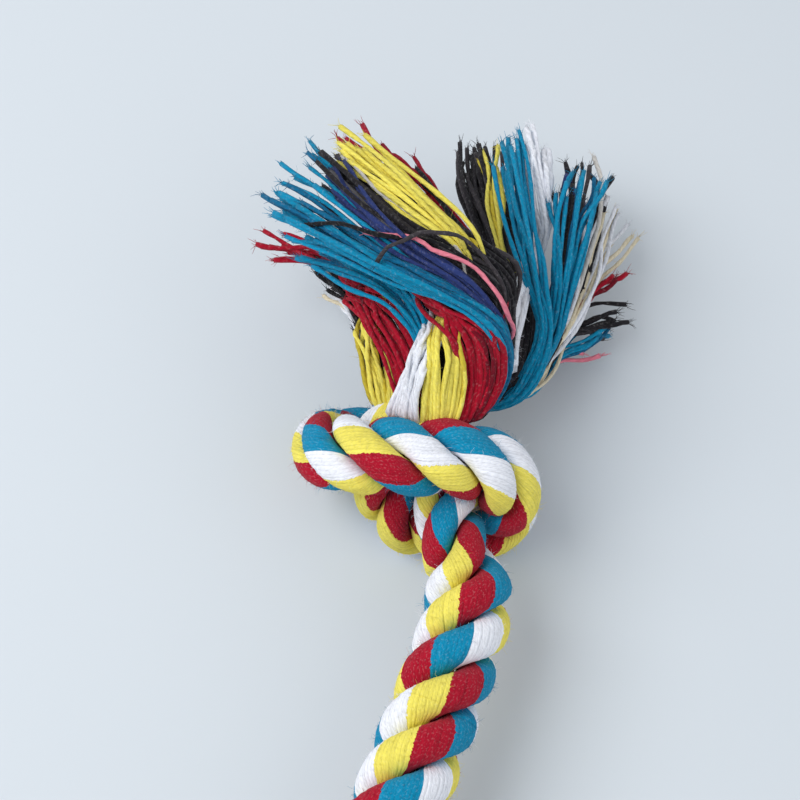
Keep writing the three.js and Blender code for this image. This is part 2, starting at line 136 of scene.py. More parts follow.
# Tufts: the strand that each is unlaid from, and its locks of loose yarn. A lock has its hank,
# a count of yarns, a thickness in rope diameters, the share of its length by which a yarn may be
# short, the shades that its yarns take in their dye, their bulk against a plain yarn, and the
# lines of its two edges, or its one line, in rope diameters from the end of the neck.
TUFT_STRANDS = {"left": 0, "top": 1, "right": 2}
HANKS = ("white", "yellow", "red", "teal", "core")
LOCKS = {
    "left": (
        ("core", 14, 0.15, 0.1, (0.0, 0.5), 1,
         ((-0.5, 0.07, -0.13), (-0.61, 0.49, -0.07), (-0.63, 0.91, -0.13), (-0.7, 1.38, -0.3)),
         ((-0.23, -0.09, 0.04), (-0.23, 0.23, 0.15), (-0.36, 0.62, 0.15), (-0.56, 1.12, -0.07))),
        ("yellow", 16, 0.04, 0.06, (0, 1), 1,
         ((-0.55, -0.03, 0.09), (-0.68, 0.38, 0.2), (-0.69, 0.73, 0.2), (-0.66, 1.03, 0.2),
          (-0.57, 1.35, 0.15)),
         ((-0.21, -0.3, 0.31), (-0.2, 0.01, 0.43), (-0.27, 0.39, 0.43), (-0.33, 0.75, 0.37),
          (-0.34, 1.08, 0.31))),
        ("red", 20, 0.03, 0.05, (0, 1), 1,
         ((-0.25, -0.17, 0.37), (-0.39, 0.3, 0.54), (-0.59, 0.73, 0.48), (-0.74, 1.12, 0.43),
          (-0.77, 1.36, 0.31)),
         ((0.11, -0.2, 0.48), (0.04, 0.31, 0.7), (-0.14, 0.78, 0.76), (-0.38, 1.14, 0.7),
          (-0.64, 1.37, 0.59))),
        ("red", 8, 0.1, 0.14, (0, 1), 1,
         ((-0.2, -0.06, 0.26), (-0.35, 0.62, 0.31), (-0.58, 1.31, 0.26), (-1.03, 2.08, -0.02),
          (-1.94, 2.41, -0.19)),
         ((0.01, -0.02, 0.31), (-0.16, 0.71, 0.48), (-0.49, 1.36, 0.43), (-1.09, 2.15, 0.15),
          (-1.8, 2.78, -0.07))),
        ("teal", 20, 0.1, 0.15, (0, 1), 1,
         ((0.01, 0.04, 0.54), (-0.02, 0.36, 0.81), (-0.27, 0.85, 0.93), (-0.73, 1.34, 0.81),
          (-1.23, 1.77, 0.54)),
         ((0.15, 0.08, 0.59), (0.12, 0.44, 0.93), (-0.13, 1.04, 1.04), (-0.71, 1.66, 0.93),
          (-1.46, 2.35, 0.65))),
        ("white", 14, 0.2, 0.16, (0, 1), 1,
         ((-0.4, 0.06, -0.02), (-0.61, 0.84, -0.19), (-0.8, 1.58, -0.41), (-1.02, 2.1, -0.63)),
         ((-0.15, 0.21, -0.02), (-0.24, 0.97, -0.19), (-0.46, 1.71, -0.35), (-0.81, 2.37, -0.57))),
        ("core", 23, 0.25, 0.2, (0, 1), 1,
         ((-0.36, 0.05, 0.09), (-0.55, 0.73, 0.04), (-0.77, 1.46, -0.07), (-1.16, 2.2, -0.35)),
         ((-0.1, 0.16, 0.2), (-0.19, 0.75, 0.31), (-0.45, 1.44, 0.26), (-0.97, 2.24, -0.07))),
    ),
    "top": (
        ("core", 14, 0.2, 0.05, (0.0, 0.3), 1,
         ((0.42, -0.49, 0.31), (0.57, -0.16, 0.59), (0.54, 0.11, 0.87), (0.43, 0.38, 1.04),
          (0.27, 0.64, 1.04)),
         ((0.67, -0.31, 0.26), (0.93, -0.11, 0.48), (0.98, 0.1, 0.76), (0.86, 0.24, 0.98),
          (0.64, 0.42, 1.09))),
        ("core", 12, 0.2, 0.05, (0.0, 0.4), 1,
         ((0.05, -0.29, 0.43), (0.06, 0.18, 0.65), (0.04, 0.63, 0.7), (-0.11, 1.13, 0.7)),
         ((0.28, -0.3, 0.43), (0.34, 0.17, 0.65), (0.34, 0.58, 0.76), (0.25, 1.04, 0.81))),
        ("core", 18, 0.3, 0.05, (0.0, 0.5), 1,
         ((0.03, -0.51, 0.37), (0.09, -0.17, 0.59), (0.22, 0.13, 0.81), (0.38, 0.47, 0.93),
          (0.62, 0.77, 0.98)),
         ((0.37, -0.52, 0.37), (0.51, -0.16, 0.54), (0.52, 0.15, 0.76), (0.56, 0.46, 0.93),
          (0.77, 0.81, 0.98))),
        ("white", 13, 0.02, 0.1, (0.0, 0.8), 1,
         ((-0.4, -0.35, 0.37), (-0.23, -0.14, 0.7), (-0.09, -0.01, 0.93), (0.11, 0.3, 0.98),
          (0.17, 1.12, 0.48), (-0.09, 1.84, 0.26)),
         ((-0.03, -0.59, 0.59), (-0.04, -0.36, 0.87), (0.03, -0.17, 1.09), (0.14, 0.15, 1.09),
          (0.23, 1.01, 0.54), (0.08, 1.8, 0.31))),
        ("yellow", 10, 0.04, 0.06, (0, 1), 1,
         ((-0.02, -0.6, 0.59), (0.03, -0.33, 0.87), (0.1, -0.1, 1.09), (0.2, 0.3, 1.09),
          (0.52, 0.67, 1.09), (0.45, 0.97, 1.56), (-0.17, 1.54, 1.76), (-0.9, 2.52, 1.43)),
         ((0.17, -0.68, 0.65), (0.19, -0.37, 0.93), (0.2, -0.14, 1.15), (0.26, 0.29, 1.15),
          (0.59, 0.66, 1.15), (0.53, 0.94, 1.65), (-0.01, 1.52, 1.81), (-0.8, 2.6, 1.48))),
        ("yellow", 12, 0.04, 0.06, (0, 1), 1,
         ((0.17, -0.68, 0.65), (0.23, -0.36, 0.93), (0.32, -0.08, 1.15), (0.31, 0.24, 1.15),
          (0.61, 0.65, 1.15), (0.54, 0.96, 1.65), (-0.0, 1.52, 1.81), (-0.79, 2.62, 1.48)),
         ((0.36, -0.67, 0.59), (0.5, -0.32, 0.81), (0.48, -0.13, 1.04), (0.4, 0.15, 1.15),
          (0.73, 0.7, 1.15), (0.66, 0.99, 1.68), (0.16, 1.54, 1.81), (-0.65, 2.78, 1.48))),
        ("red", 20, 0.03, 0.03, (0, 1), 1,
         ((0.34, -0.67, 0.54), (0.48, -0.28, 0.81), (0.43, -0.04, 1.12), (0.37, 0.08, 1.26),
          (0.31, 0.25, 1.31), (0.19, 0.49, 1.26), (0.05, 0.87, 1.04)),
         ((0.67, -0.49, 0.48), (0.95, -0.24, 0.7), (0.99, -0.06, 1.01), (0.9, 0.06, 1.26),
          (0.68, 0.24, 1.37), (0.42, 0.5, 1.31), (0.14, 0.91, 1.09))),
        ("teal", 23, 0.08, 0.12, (0, 1), 1,
         ((0.68, -0.38, 0.37), (0.94, -0.15, 0.59), (0.96, -0.01, 0.95), (0.86, 0.06, 1.31),
          (0.64, 0.21, 1.51), (0.24, 0.43, 1.59), (-0.3, 0.72, 1.59), (-0.91, 1.25, 1.43),
          (-1.52, 1.89, 1.15)),
         ((0.76, -0.33, 0.37), (1.0, -0.04, 0.59), (1.0, 0.1, 1.01), (0.84, 0.22, 1.43),
          (0.51, 0.41, 1.65), (0.03, 0.69, 1.73), (-0.5, 1.19, 1.65), (-1.12, 1.88, 1.43),
          (-1.76, 2.46, 1.15))),
        ("teal", 6, 0.05, 0.08, (0, 1), 1,
         ((0.95, -0.07, 0.59), (0.97, 0.09, 1.04), (0.75, 0.3, 1.43), (0.15, 0.85, 1.65),
          (-0.77, 1.93, 1.43), (-1.47, 2.78, 1.15)),
         ((0.97, -0.01, 0.59), (0.99, 0.17, 1.04), (0.81, 0.35, 1.43), (0.27, 0.93, 1.65),
          (-0.62, 1.99, 1.43), (-1.27, 2.9, 1.15))),
        ("core", 15, 0.05, 0.1, (0.6, 0.74), 1,
         ((0.97, 0.05, 0.54), (0.98, 0.12, 0.98), (0.81, 0.23, 1.37), (0.49, 0.43, 1.62),
          (-0.07, 0.78, 1.73), (-0.61, 1.42, 1.62), (-0.97, 2.18, 1.34)),
         ((1.0, 0.13, 0.54), (0.99, 0.18, 1.01), (0.86, 0.32, 1.4), (0.59, 0.54, 1.68),
          (0.06, 0.94, 1.76), (-0.52, 1.58, 1.65), (-0.94, 2.36, 1.34))),
        ("core", 41, 0.12, 0.1, (0.0, 0.58), 1,
         ((0.97, 0.22, 0.48), (1.0, 0.4, 0.93), (0.91, 0.55, 1.37), (0.54, 0.73, 1.65),
          (-0.11, 1.11, 1.73), (-0.94, 2.24, 1.43)),
         ((1.0, 0.35, 0.48), (1.09, 0.67, 0.93), (1.11, 1.0, 1.26), (0.72, 1.14, 1.59),
          (-0.01, 1.61, 1.65), (-0.86, 2.52, 1.37))),
        ("core", 1, 0, 0, (0.925, 0.926), 0.95,
         ((1.06, 0.23, 0.98), (1.02, 0.25, 1.37), (0.87, 0.41, 1.65), (0.68, 0.62, 1.81),
          (0.26, 0.82, 1.95), (-0.08, 1.03, 1.95), (-0.69, 1.29, 1.84))),
        ("core", 1, 0, 0, (0.8, 0.81), 0.95,
         ((0.92, 0.42, 1.48), (0.59, 0.75, 1.76), (0.16, 0.99, 1.87), (-0.45, 1.13, 1.87),
          (-0.86, 1.33, 1.76), (-1.41, 1.55, 1.43))),
        ("core", 1, 0, 0, (0.4, 0.41), 0.9,
         ((0.98, 0.45, 1.43), (0.71, 0.8, 1.76), (0.43, 0.9, 1.93), (0.05, 0.97, 1.93),
          (-0.23, 0.93, 1.87), (-0.45, 0.9, 1.76))),
        ("core", 2, 0, 0, (0.76, 0.85), 0.95,
         ((0.99, 0.53, 1.31), (0.83, 0.82, 1.65), (0.53, 1.1, 1.76), (0.2, 1.42, 1.76),
          (-0.2, 2.16, 1.48)),
         ((1.05, 0.59, 1.31), (0.95, 0.89, 1.54), (0.68, 1.16, 1.65), (0.4, 1.48, 1.65),
          (0.03, 2.13, 1.43))),
        ("core", 2, 0, 0, (0.87, 0.9), 0.9,
         ((0.59, 0.75, 1.7), (0.29, 1.28, 1.76), (-0.01, 1.54, 1.76), (-0.31, 1.83, 1.59)),
         ((0.28, 1.07, 1.76), (-0.15, 1.49, 1.76), (-0.57, 1.91, 1.65), (-0.99, 2.58, 1.37))),
        ("core", 7, 0.05, 0.04, (0.945, 0.965), 1,
         ((1.0, 0.6, 1.2), (0.55, 1.3, 1.37), (-0.1, 2.05, 1.43), (-0.74, 2.98, 1.2)),
         ((1.06, 0.66, 1.2), (0.68, 1.39, 1.37), (0.17, 2.14, 1.48), (-0.01, 2.44, 1.37))),
        ("core", 6, 0.1, 0.04, (0.94, 0.965), 1,
         ((0.84, 0.78, 1.26), (0.31, 1.57, 1.43), (-0.23, 2.28, 1.43), (-0.68, 3.21, 1.2)),
         ((0.89, 0.8, 1.26), (0.39, 1.59, 1.43), (-0.11, 2.3, 1.43), (-0.46, 2.91, 1.26))),
    ),
    "right": (
        ("teal", 16, 0.1, 0.14, (0, 1), 1,
         ((1.01, -0.01, 0.04), (1.28, 0.31, 0.26), (1.44, 0.62, 0.43), (1.36, 1.13, 0.59),
          (1.24, 2.05, 0.65), (1.15, 3.64, 0.48)),
         ((1.15, -0.04, -0.02), (1.49, 0.29, 0.2), (1.6, 0.66, 0.43), (1.56, 1.27, 0.59),
          (1.51, 2.19, 0.65), (1.52, 3.6, 0.48))),
        ("teal", 16, 0.14, 0.16, (0, 1), 1,
         ((1.2, 0.21, -0.07), (1.55, 0.65, 0.15), (1.67, 1.05, 0.37), (1.75, 1.66, 0.54),
          (1.83, 2.45, 0.59), (1.91, 3.12, 0.54)),
         ((1.24, 0.15, -0.07), (1.69, 0.7, 0.09), (1.9, 1.19, 0.26), (2.14, 1.8, 0.43),
          (2.34, 2.36, 0.48), (2.55, 2.92, 0.43))),
        ("teal", 7, 0.1, 0.15, (0, 1), 1,
         ((1.33, 0.31, -0.35), (1.75, 0.91, -0.52), (2.1, 1.14, -0.63), (2.39, 1.42, -0.63),
          (2.65, 1.54, -0.69)),
         ((1.37, 0.25, -0.35), (1.82, 0.88, -0.57), (2.16, 1.05, -0.69), (2.44, 1.25, -0.74),
          (2.66, 1.44, -0.74))),
        ("white", 1, 0, 0, (0.0, 0.5), 3.1,
         ((1.09, 0.23, -0.24), (1.11, 0.27, 0.2), (1.1, 0.37, 0.59), (1.18, 0.67, 0.7),
          (1.32, 1.17, 0.54), (1.52, 1.77, 0.26), (1.66, 2.13, 0.31), (1.67, 2.51, 0.43),
          (1.68, 3.12, 0.48), (1.7, 3.36, 0.54))),
        ("white", 9, 0.17, 0.08, (0.0, 0.5), 1.1,
         ((1.02, 0.23, -0.24), (1.04, 0.27, 0.2), (1.03, 0.37, 0.59), (1.11, 0.67, 0.7),
          (1.25, 1.17, 0.54), (1.45, 1.77, 0.26), (1.59, 2.13, 0.31), (1.6, 2.51, 0.43),
          (1.61, 3.12, 0.48), (1.63, 3.48, 0.54)),
         ((1.16, 0.23, -0.24), (1.18, 0.27, 0.2), (1.17, 0.37, 0.59), (1.25, 0.67, 0.7),
          (1.39, 1.17, 0.54), (1.59, 1.77, 0.26), (1.73, 2.13, 0.31), (1.74, 2.51, 0.43),
          (1.75, 3.12, 0.48), (1.77, 3.48, 0.54))),
        ("white", 12, 0.1, 0.15, (0, 1), 1,
         ((1.13, 0.29, -0.3), (1.53, 0.7, -0.19), (1.79, 1.09, -0.07), (2.01, 1.71, -0.07),
          (2.25, 2.43, -0.13), (2.54, 3.15, -0.24)),
         ((1.17, 0.26, -0.3), (1.63, 0.65, -0.19), (1.9, 1.01, -0.13), (2.25, 1.62, -0.19),
          (2.53, 2.41, -0.24), (2.82, 3.22, -0.35))),
        ("white", 5, 0.15, 0.15, (0.8, 1.0), 0.9,
         ((1.37, 0.27, -0.3), (1.88, 1.15, -0.24), (2.37, 2.16, -0.35), (2.93, 2.91, -0.46)),
         ((1.41, 0.24, -0.3), (1.95, 1.15, -0.35), (2.44, 2.03, -0.46), (2.97, 2.72, -0.52))),
        ("yellow", 5, 0.1, 0.1, (0, 1), 1,
         ((1.14, 0.38, -0.41), (1.17, 0.72, 0.15), (1.1, 1.3, 0.37), (1.02, 2.04, 0.37),
          (0.99, 2.86, 0.31), (0.94, 3.79, 0.2)),
         ((1.17, 0.38, -0.41), (1.22, 0.79, 0.15), (1.2, 1.36, 0.37), (1.14, 2.04, 0.37),
          (1.15, 2.69, 0.31), (1.17, 3.34, 0.2))),
        ("red", 3, 0.03, 0.05, (0, 1), 1.15,
         ((1.23, 0.29, -0.35), (1.67, 0.84, -0.35), (2.05, 1.45, -0.41), (2.39, 1.88, -0.46),
          (2.74, 2.18, -0.52)),
         ((1.25, 0.27, -0.35), (1.69, 0.82, -0.35), (2.08, 1.4, -0.41), (2.42, 1.81, -0.46),
          (2.76, 2.07, -0.52))),
        ("core", 41, 0.25, 0.14, (0.0, 0.5), 1,
         ((1.04, 0.12, 0.04), (1.15, 0.65, 0.15), (1.07, 1.45, 0.15), (0.91, 2.25, 0.09),
          (0.77, 3.0, 0.04), (0.74, 3.83, -0.07)),
         ((1.16, 0.14, 0.09), (1.38, 0.7, 0.2), (1.43, 1.42, 0.2), (1.34, 2.19, 0.15),
          (1.23, 3.02, 0.09), (1.14, 3.8, -0.02))),
        ("core", 21, 0.2, 0.2, (0.0, 0.9), 1,
         ((1.2, 0.24, -0.07), (1.58, 0.85, -0.02), (1.74, 1.49, 0.04), (1.85, 2.25, 0.04),
          (1.96, 3.07, -0.02), (1.99, 3.74, -0.07)),
         ((1.26, 0.24, -0.13), (1.78, 0.91, -0.13), (2.1, 1.63, -0.19), (2.38, 2.42, -0.24),
          (2.62, 3.09, -0.3), (2.77, 3.46, -0.35))),
        ("core", 7, 0.15, 0.15, (0.0, 0.5), 0.9,
         ((1.45, 0.52, -0.24), (1.89, 1.22, -0.35), (2.32, 1.53, -0.46), (2.77, 1.51, -0.52)),
         ((1.52, 0.53, -0.35), (1.99, 1.15, -0.52), (2.37, 1.3, -0.63), (2.73, 1.44, -0.69))),
        ("core", 2, 0.05, 0.05, (0.92, 0.93), 1,
         ((1.41, 0.39, -0.41), (1.82, 0.91, -0.57), (2.24, 0.94, -0.69)),
         ((1.43, 0.36, -0.41), (1.85, 0.88, -0.63), (2.21, 0.9, -0.74))),
    ),
}
ROOT_STATIONS = (6 * MM, 2 * MM)  # places in the strand, back from its end, that a yarn leaves by
ROOT_WIDTH = 0.34  # rope diameters
YARN_RINGS = 40
YARN_SIDES = 6
SLANT = (0.36, 0.48, 0.8)  # a direction that few yarns follow, from which their sides start
YARN_BULKS = (0.88, 1.12)  # least and most against the lock's
YARN_JITTER = 0.2  # of the room that a yarn has across its lock
SHORT_POWER = 1.5  # the higher, the fewer yarns are short
STRAY_PACES = (0.6, 1.3, 2.7, 5.2)  # waves along a yarn
STRAY_SIZE = 0.9
LUMP_PACES = (4, 9, 17)  # waves along a yarn
LUMP_SIZE = 0.03
BULKY_LUMP_SIZE = 0.05  # more for each bulk
TIP_FLARE = (1.06, 1.16, 1.12)  # of the last rings
CLUMP = 4  # yarns that cling together towards their tips
CLUMP_PULL = 0.55
TUFT_BEND_BACK = 3 * MM  # from the strand's end, back and on, where a tuft's bend would start and end
TUFT_BEND_REACH = 9 * MM

# Lint on the strands and yarns, and the fibres that fray from a yarn's tip.
LINT_RADIUS = 0.024 * MM
LINT_TAPER = (1.0, 0.9, 0.4)
LINT_SIDES = 3
LINT_SPREAD = 1.5
LINT_SHORTEST = 0.45  # root of the share of the longest
LINT_RISE = 0.25  # least share of a fibre's start that stands off the skin
LINT_TURN = 0.001  # a fibre's width in the yarn map
LINT_TRIES = 3  # places drawn on a strand for each fibre wanted
LINT_OPEN = 0.6  # how far such a place has to face out of the rope
FRAY_RADIUS = 0.07 * MM
FRAY_LENGTH = 2.8 * MM
FRAY_SPREAD = 0.4
FRAY_FIBRES = 8  # at the tip of each yarn
FRAY_ROOT = 0.6  # of the yarn's radius

# Cotton and its pale worn flecks.
COTTON = {"Specular IOR Level": 0.08, "Sheen Weight": 0.06, "Sheen Roughness": 0.6}
BUMP_STRENGTH = 0.6
PALE_FIBRE = (0.8, 0.78, 0.76, 1.0)
PALENESS = 0.3
FLECK_FULL = 0.74
MIX_FIRST, MIX_SECOND, MIX_RESULT = 6, 7, 2  # colour sockets of a Mix node

# Stage: the lamps' places, sizes and watts.
LAMPS = {"key": ((-0.55, 0.05, 0.75), 0.7, 5.7), "fill": ((0.6, -0.4, 0.6), 0.8, 1.4)}
LAMP_AIM = (0, 0.09, 0.02)
SKY = (0.93, 0.96, 1.0, 1.0)
SKY_STRENGTH = 0.59
FLOOR_SIZE = 6.0
FLOOR_ROUGHNESS = 0.9
NEAREST_SEEN = 10 * MM


def linear(red, green, blue):
    """Scene colour of a colour that is given as it shows on a screen, from 0 to 255."""
    shares = np.array((red, green, blue)) / 255
    return tuple(np.where(shares <= 0.04045, shares / 12.92, ((shares + 0.055) / 1.055) ** 2.4))


def length_setting(name, description, default):
    """A length that a user may change."""
    return FloatProperty(name=name, description=description, default=default, unit="LENGTH")


def angle_setting(name, description, degrees):
    return FloatProperty(name=name, description=description, default=math.radians(degrees), subtype="ANGLE")


def colour_setting(name, description, *screen):
    """A colour that a user may change, given as it shows on a screen."""
    return FloatVectorProperty(
        name=name, description=description, default=linear(*screen), subtype="COLOR", min=0, max=1
    )


class RopeSettings(PropertyGroup):
    """Sizes and dyes of the laid rope."""

    diameter: length_setting("Rope diameter", "Across the laid rope", 18 * MM)
    knot_diameter: length_setting("Rope in knots", "Across the rope drawn tight in a knot", 16.5 * MM)
    swell: FloatProperty(
        name="Swell", description="How much the soft rope bulges in a knot", default=1.07, subtype="FACTOR"
    )
    lay_length: length_setting("Lay length", "One turn of a strand round the rope", 31 * MM)
    knot_spacing: length_setting("Knot spacing", "Between the two knots' centres", 150 * MM)
    knot_offset: length_setting("Knot offset", "Of each knot to its side of the middle line", 9.4 * MM)
    yarns: IntProperty(
        name="Yarns", description="Yarns round a strand, a multiple of four", default=32, min=8
    )
    yarn_relief: length_setting("Yarn relief", "Height of a yarn over its neighbours' seam", 0.13 * MM)
    lint: FloatProperty(
        name="Lint", description="Loose fibres on a millimetre of strand", default=8.0, min=0.0
    )
    lint_length: length_setting("Lint length", "Of the longest loose fibres", 2.2 * MM)
    white: colour_setting("White", "Undyed yarn", 238, 240, 247)
    yellow: colour_setting("Yellow", "Yellow dye", 236, 222, 98)
    red: colour_setting("Red", "Red dye", 170, 16, 42)
    teal: colour_setting("Teal", "Teal dye", 6, 136, 176)


class TuftSettings(PropertyGroup):
    """Sizes of the loose yarn past the knots."""

    yarn_diameter: length_setting("Yarn diameter", "Across a loose yarn", 1.0 * MM)
    waviness: length_setting("Waviness", "How far a yarn strays at its tip", 1.5 * MM)
    lint: IntProperty(name="Lint", description="Loose fibres on a yarn", default=6, min=0)
    seed: IntProperty(name="Seed", description="Start of the random numbers", default=7)


class StageSettings(PropertyGroup):
    """Floor and camera."""

    floor: colour_setting("Floor", "Colour of the floor", 211, 218, 224)
    lens: FloatProperty(name="Lens", description="Focal length of the camera", default=69.3, unit="CAMERA")
    elevation: angle_setting("Elevation", "Height angle of the camera", 60)
    azimuth: angle_setting("Azimuth", "Turn of the camera", -2.7)
    distance: length_setting("Distance", "From the camera to its aim", 330 * MM)
    aim: FloatVectorProperty(
        name="Aim",
        description="Place in the middle of the picture",
        default=(6.8 * MM, 91.9 * MM, 20 * MM),
        subtype="XYZ",
    )


def smoothstep(values, low, high):
    share = np.clip((values - low) / (high - low), 0, 1)
    return share * share * (3 - 2 * share)


def unit(vectors):
    return vectors / np.linalg.norm(vectors, axis=-1, keepdims=True)


def half_turned(places):
    """The same places at the toy's other end."""
    return places * (-1, -1, 1)


def travelled(places):
    """Distance along each row of places."""
    steps = np.linalg.norm(np.diff(places, axis=-2), axis=-1)
    return np.concatenate([np.zeros_like(steps[..., :1]), np.cumsum(steps, axis=-1)], axis=-1)


def resampled(places, distances):
    way = travelled(places)
    return np.stack([np.interp(distances, way, row) for row in places.T], axis=-1)


def spline(points, per_span=24):
    """Smooth centripetal curve through the points."""
    points = np.asarray(points, dtype=float)
    before = np.vstack([2 * points[0] - points[1], points[:-1]])
    after = np.vstack([points[1:], 2 * points[-1] - points[-2]])
    share = np.linspace(0, 1, per_span, endpoint=False)[:, None]
    spans = []
    for first, start, end, last in zip(before, points, points[1:], after[1:]):
        gap_in, gap, gap_out = (
            max(np.linalg.norm(b - a), 1e-9) ** 0.5 for a, b in ((first, start), (start, end), (end, last))
        )
        leave = (start - first) / gap_in - (end - first) / (gap_in + gap) + (end - start) / gap
        arrive = (end - start) / gap - (last - start) / (gap + gap_out) + (last - end) / gap_out
        leave, arrive = leave * gap, arrive * gap
        cubic = 2 * start - 2 * end + leave + arrive
        square = -3 * start + 3 * end - 2 * leave - arrive
        spans.append(start + share * (leave + share * (square + share * cubic)))
    return np.vstack([*spans, points[-1:]])


def transported(along, first):
    """A side direction carried along rows of directions with no twist."""
    sides = np.empty_like(along)
    side = np.broadcast_to(first, along[..., 0, :].shape)
    for step in range(along.shape[-2]):
        direction = along[..., step, :]
        side = unit(side - direction * np.sum(side * direction, axis=-1, keepdims=True))
        sides[..., step, :] = side
    return sides


def strand_section():
    """A strand's outline in rope diameters, by turns round it from its outermost place."""
    angle = np.linspace(-math.pi, math.pi, SECTION_POINTS)
    back = 1 / np.hypot(np.cos(angle) / STRAND_OUT, np.sin(angle) / STRAND_SIDE)
    wedge = math.pi / STRANDS
    closing = np.abs(np.sin(angle)) * math.cos(wedge) - np.cos(angle) * math.sin(wedge)
    room = STRAND_CENTRE * math.sin(wedge) - FLANK_GAP
    flank = room / np.maximum(closing, 1e-3)
    reach = (back**-FLANK_FIRMNESS + flank**-FLANK_FIRMNESS) ** (-1 / FLANK_FIRMNESS)
    outline = np.stack([STRAND_CENTRE + reach * np.cos(angle), reach * np.sin(angle)], axis=-1)
    way = travelled(outline)
    return way / way[-1] - 0.5, outline


class Rope:
    """The rope's middle line from the toy's middle to the end of a neck, and the strands round it."""

    def __init__(self, sizes):
        self.sizes = sizes
        self.knot = np.array((sizes.knot_offset, sizes.knot_spacing / 2))
        self.height = KNOT_DEPTH * sizes.knot_diameter * PINCH_HEIGHT - FLOOR_CUT * sizes.diameter
        dense = spline(self.route())
        self.length = travelled(dense)[-1]
        self.stations = np.linspace(0, self.length, round(self.length / ROUTE_STEP))
        self.middle = resampled(dense, self.stations)
        self.along = unit(np.gradient(self.middle, axis=0))
        self.normal = transported(self.along, np.array((0.0, 0.0, -1.0)))
        self.across = np.cross(self.along, self.normal)
        self.drawn = travelled(self.pinched(self.middle)) / sizes.lay_length
        self.section_turns, self.section = strand_section()

    def route(self):
        offset, distance = self.knot
        standing = [(across * offset, along * distance, self.height) for across, along in STANDING_ROPE]
        turned = [(-across, -along, up) for across, along, up in HALF_KNOT[:0:-1]]
        centre = np.array((*self.knot, self.height))
        knot = centre + self.sizes.knot_diameter * np.array([*turned, *HALF_KNOT, *NECK])
        return np.vstack([standing, knot])

    def from_knot(self, places):
        return np.abs(places[..., 1] - self.knot[1]) / self.sizes.knot_diameter

    def thickness(self, middle):
        standing = smoothstep(self.from_knot(middle), PINCH_FROM, PINCH_TO) * (middle[..., 1] < self.knot[1])
        knotted = self.sizes.knot_diameter * self.sizes.swell
        return knotted + (self.sizes.diameter - knotted) * standing

    def pinched(self, places):
        """Places near the knot drawn in towards its middle, with its top leaning back."""
        tight = 1 - smoothstep(self.from_knot(places), PINCH_FROM, PINCH_TO)
        across = (places[..., 0] - self.knot[0]) * (1 - (1 - PINCH_ACROSS) * tight)
        up = (places[..., 2] - self.height) * (1 - (1 - PINCH_HEIGHT) * tight)
        along = places[..., 1] - LEAN * tight * up
        return np.stack([self.knot[0] + across, along, np.maximum(self.height + up, 0)], axis=-1)

    def at(self, stations, rows):
        return np.stack([np.interp(stations, self.stations, row) for row in rows.T], axis=-1)

    def lay(self, stations):
        """Turns of the strands round the rope, which follow the length of the tightened rope."""
        return np.interp(stations, self.stations, self.drawn)

    def strand_middle(self, strand, stations):
        """A strand's own middle line."""
        angle = TAU * (self.lay(stations) + strand / STRANDS)[:, None]
        middle = self.at(stations, self.middle)
        out = np.cos(angle) * self.at(stations, self.normal) + np.sin(angle) * self.at(stations, self.across)
        return self.pinched(middle + STRAND_CENTRE * self.thickness(middle)[:, None] * out)

    def skin(self, strand, stations, turns, inset=0.0):
        """Places on a strand's skin: a row for each station, a column for each yarn's turn round it."""
        turned = self.lay(stations)[:, None]
        lay = turned + strand / STRANDS
        gain = np.interp(turned, *np.transpose(COLOUR_GAINS[strand]))
        facing = turns - YARN_UNWIND * turned + gain - lay
        facing -= np.round(facing)
        middle = self.at(stations, self.middle)
        size = self.thickness(middle)[:, None]
        out = np.interp(facing, self.section_turns, self.section[:, 0]) - STRAND_CENTRE
        side = np.interp(facing, self.section_turns, self.section[:, 1])
        shrink = 1 - inset / (size * np.hypot(out, side))
        out = size * (STRAND_CENTRE + out * shrink)
        side = size * side * shrink
        cos, sin = np.cos(TAU * lay), np.sin(TAU * lay)
        normal = self.at(stations, self.normal)[:, None]
        across = self.at(stations, self.across)[:, None]
        offset = (out * cos - side * sin)[..., None] * normal + (out * sin + side * cos)[..., None] * across
        return self.pinched(middle[:, None] + offset)

    def whole_skin(self, strand, stations, turns, inset):
        """The skin from end b, at stations under 0, to end a."""
        ahead = stations >= 0
        places = np.empty((len(stations), len(turns), 3))
        places[ahead] = self.skin(strand, stations[ahead], turns, inset[ahead])
        places[~ahead] = half_turned(self.skin(-strand % STRANDS, -stations[~ahead], -turns, inset[~ahead]))
        return places

    def whole_strand_middle(self, strand, stations):
        ahead = stations >= 0
        near = self.strand_middle(strand, stations[ahead])
        far = half_turned(self.strand_middle(-strand % STRANDS, -stations[~ahead]))
        return np.vstack([far, near])

    def whole_middle(self, stations):
        middle = self.pinched(self.at(np.abs(stations), self.middle))
        return np.where(stations[:, None] < 0, half_turned(middle), middle)

    def neck_end(self):
        return self.pinched(self.middle[-1])


def round_rings(paths, radii, sides):
    """Rings round each path, with a radius for each of its places."""
    along = unit(np.gradient(paths, axis=1))
    normal = transported(along, np.array(SLANT))
    across = np.cross(along, normal)
    angle = np.arange(sides)[:, None] * TAU / sides
    circle = np.cos(angle) * normal[:, :, None] + np.sin(angle) * across[:, :, None]
    return paths[:, :, None] + radii[..., None, None] * circle


